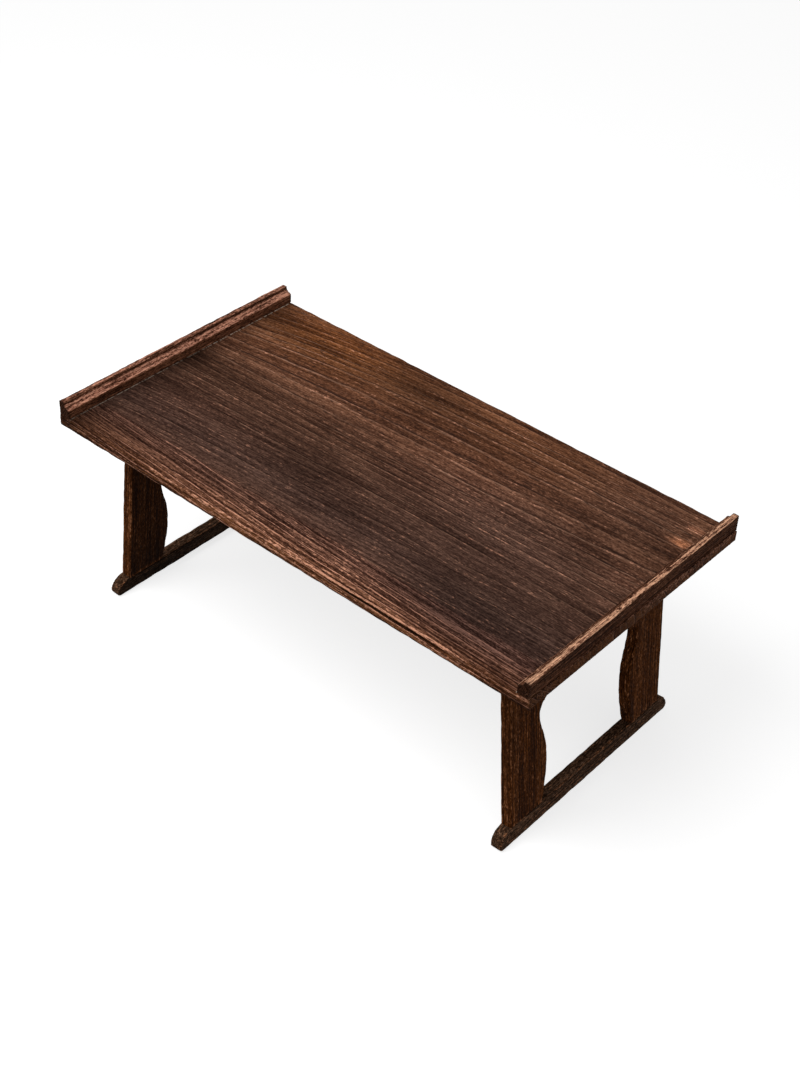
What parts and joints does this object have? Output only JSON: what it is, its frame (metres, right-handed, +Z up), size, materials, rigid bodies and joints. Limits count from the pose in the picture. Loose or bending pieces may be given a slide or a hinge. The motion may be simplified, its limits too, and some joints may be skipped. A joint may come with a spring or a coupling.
{
  "type": "folding low table",
  "caption": "Low rectangular table of charred, brushed wood: a thin planked top with a stepped ledge at each short end, on splayed curved leg frames that fold flat underneath.",
  "frame": {"origin": "on the floor, under the middle of the top, with the legs open", "axes": "+X along the table's length, +Y from its front to its back, +Z up"},
  "size_m": [0.6, 0.32, 0.25],
  "materials": {
    "top_wood": "charred and brushed, satin, grain standing in ridges",
    "ledge_wood": "charred and brushed, worn pale along the ridge and step",
    "leg_wood": "charred and brushed, satin, upright grain",
    "hinge_metal": "bronze-plated steel, lightly tarnished",
    "pin_steel": "plain drawn steel",
    "screw_steel": "bronze-plated steel"
  },
  "bodies": {
    "top": {"plank_front": "top_wood", "plank_middle": "top_wood", "plank_back": "top_wood", "ledge_left": "ledge_wood", "ledge_screws_left": "screw_steel", "hinge_top_screws_left": "screw_steel", "ledge_right": "ledge_wood", "ledge_screws_right": "screw_steel", "hinge_top_screws_right": "screw_steel", "hinge_top_leaf_left_front": "hinge_metal", "hinge_pin_left_front": "pin_steel", "hinge_top_leaf_left_back": "hinge_metal", "hinge_pin_left_back": "pin_steel", "hinge_top_leaf_right_front": "hinge_metal", "hinge_pin_right_front": "pin_steel", "hinge_top_leaf_right_back": "hinge_metal", "hinge_pin_right_back": "pin_steel"},
    "left_leg": {"rail_left": "leg_wood", "runner_left": "leg_wood", "hinge_leg_screws_left": "screw_steel", "post_left_front": "leg_wood", "hinge_leg_leaf_left_front": "hinge_metal", "post_left_back": "leg_wood", "hinge_leg_leaf_left_back": "hinge_metal"},
    "right_leg": {"rail_right": "leg_wood", "runner_right": "leg_wood", "hinge_leg_screws_right": "screw_steel", "post_right_front": "leg_wood", "hinge_leg_leaf_right_front": "hinge_metal", "post_right_back": "leg_wood", "hinge_leg_leaf_right_back": "hinge_metal"}
  },
  "joints": [
    {"name": "left_leg_fold", "type": "hinge", "parent": "top", "child": "left_leg", "pos_m": [-0.23436, 0, 0.21715], "axis": [0, -1, 0], "range_deg": [0, 95.7]},
    {"name": "right_leg_fold", "type": "hinge", "parent": "top", "child": "right_leg", "pos_m": [0.23436, 0, 0.21715], "axis": [0, 1, 0], "range_deg": [0, 95.7]}
  ]
}
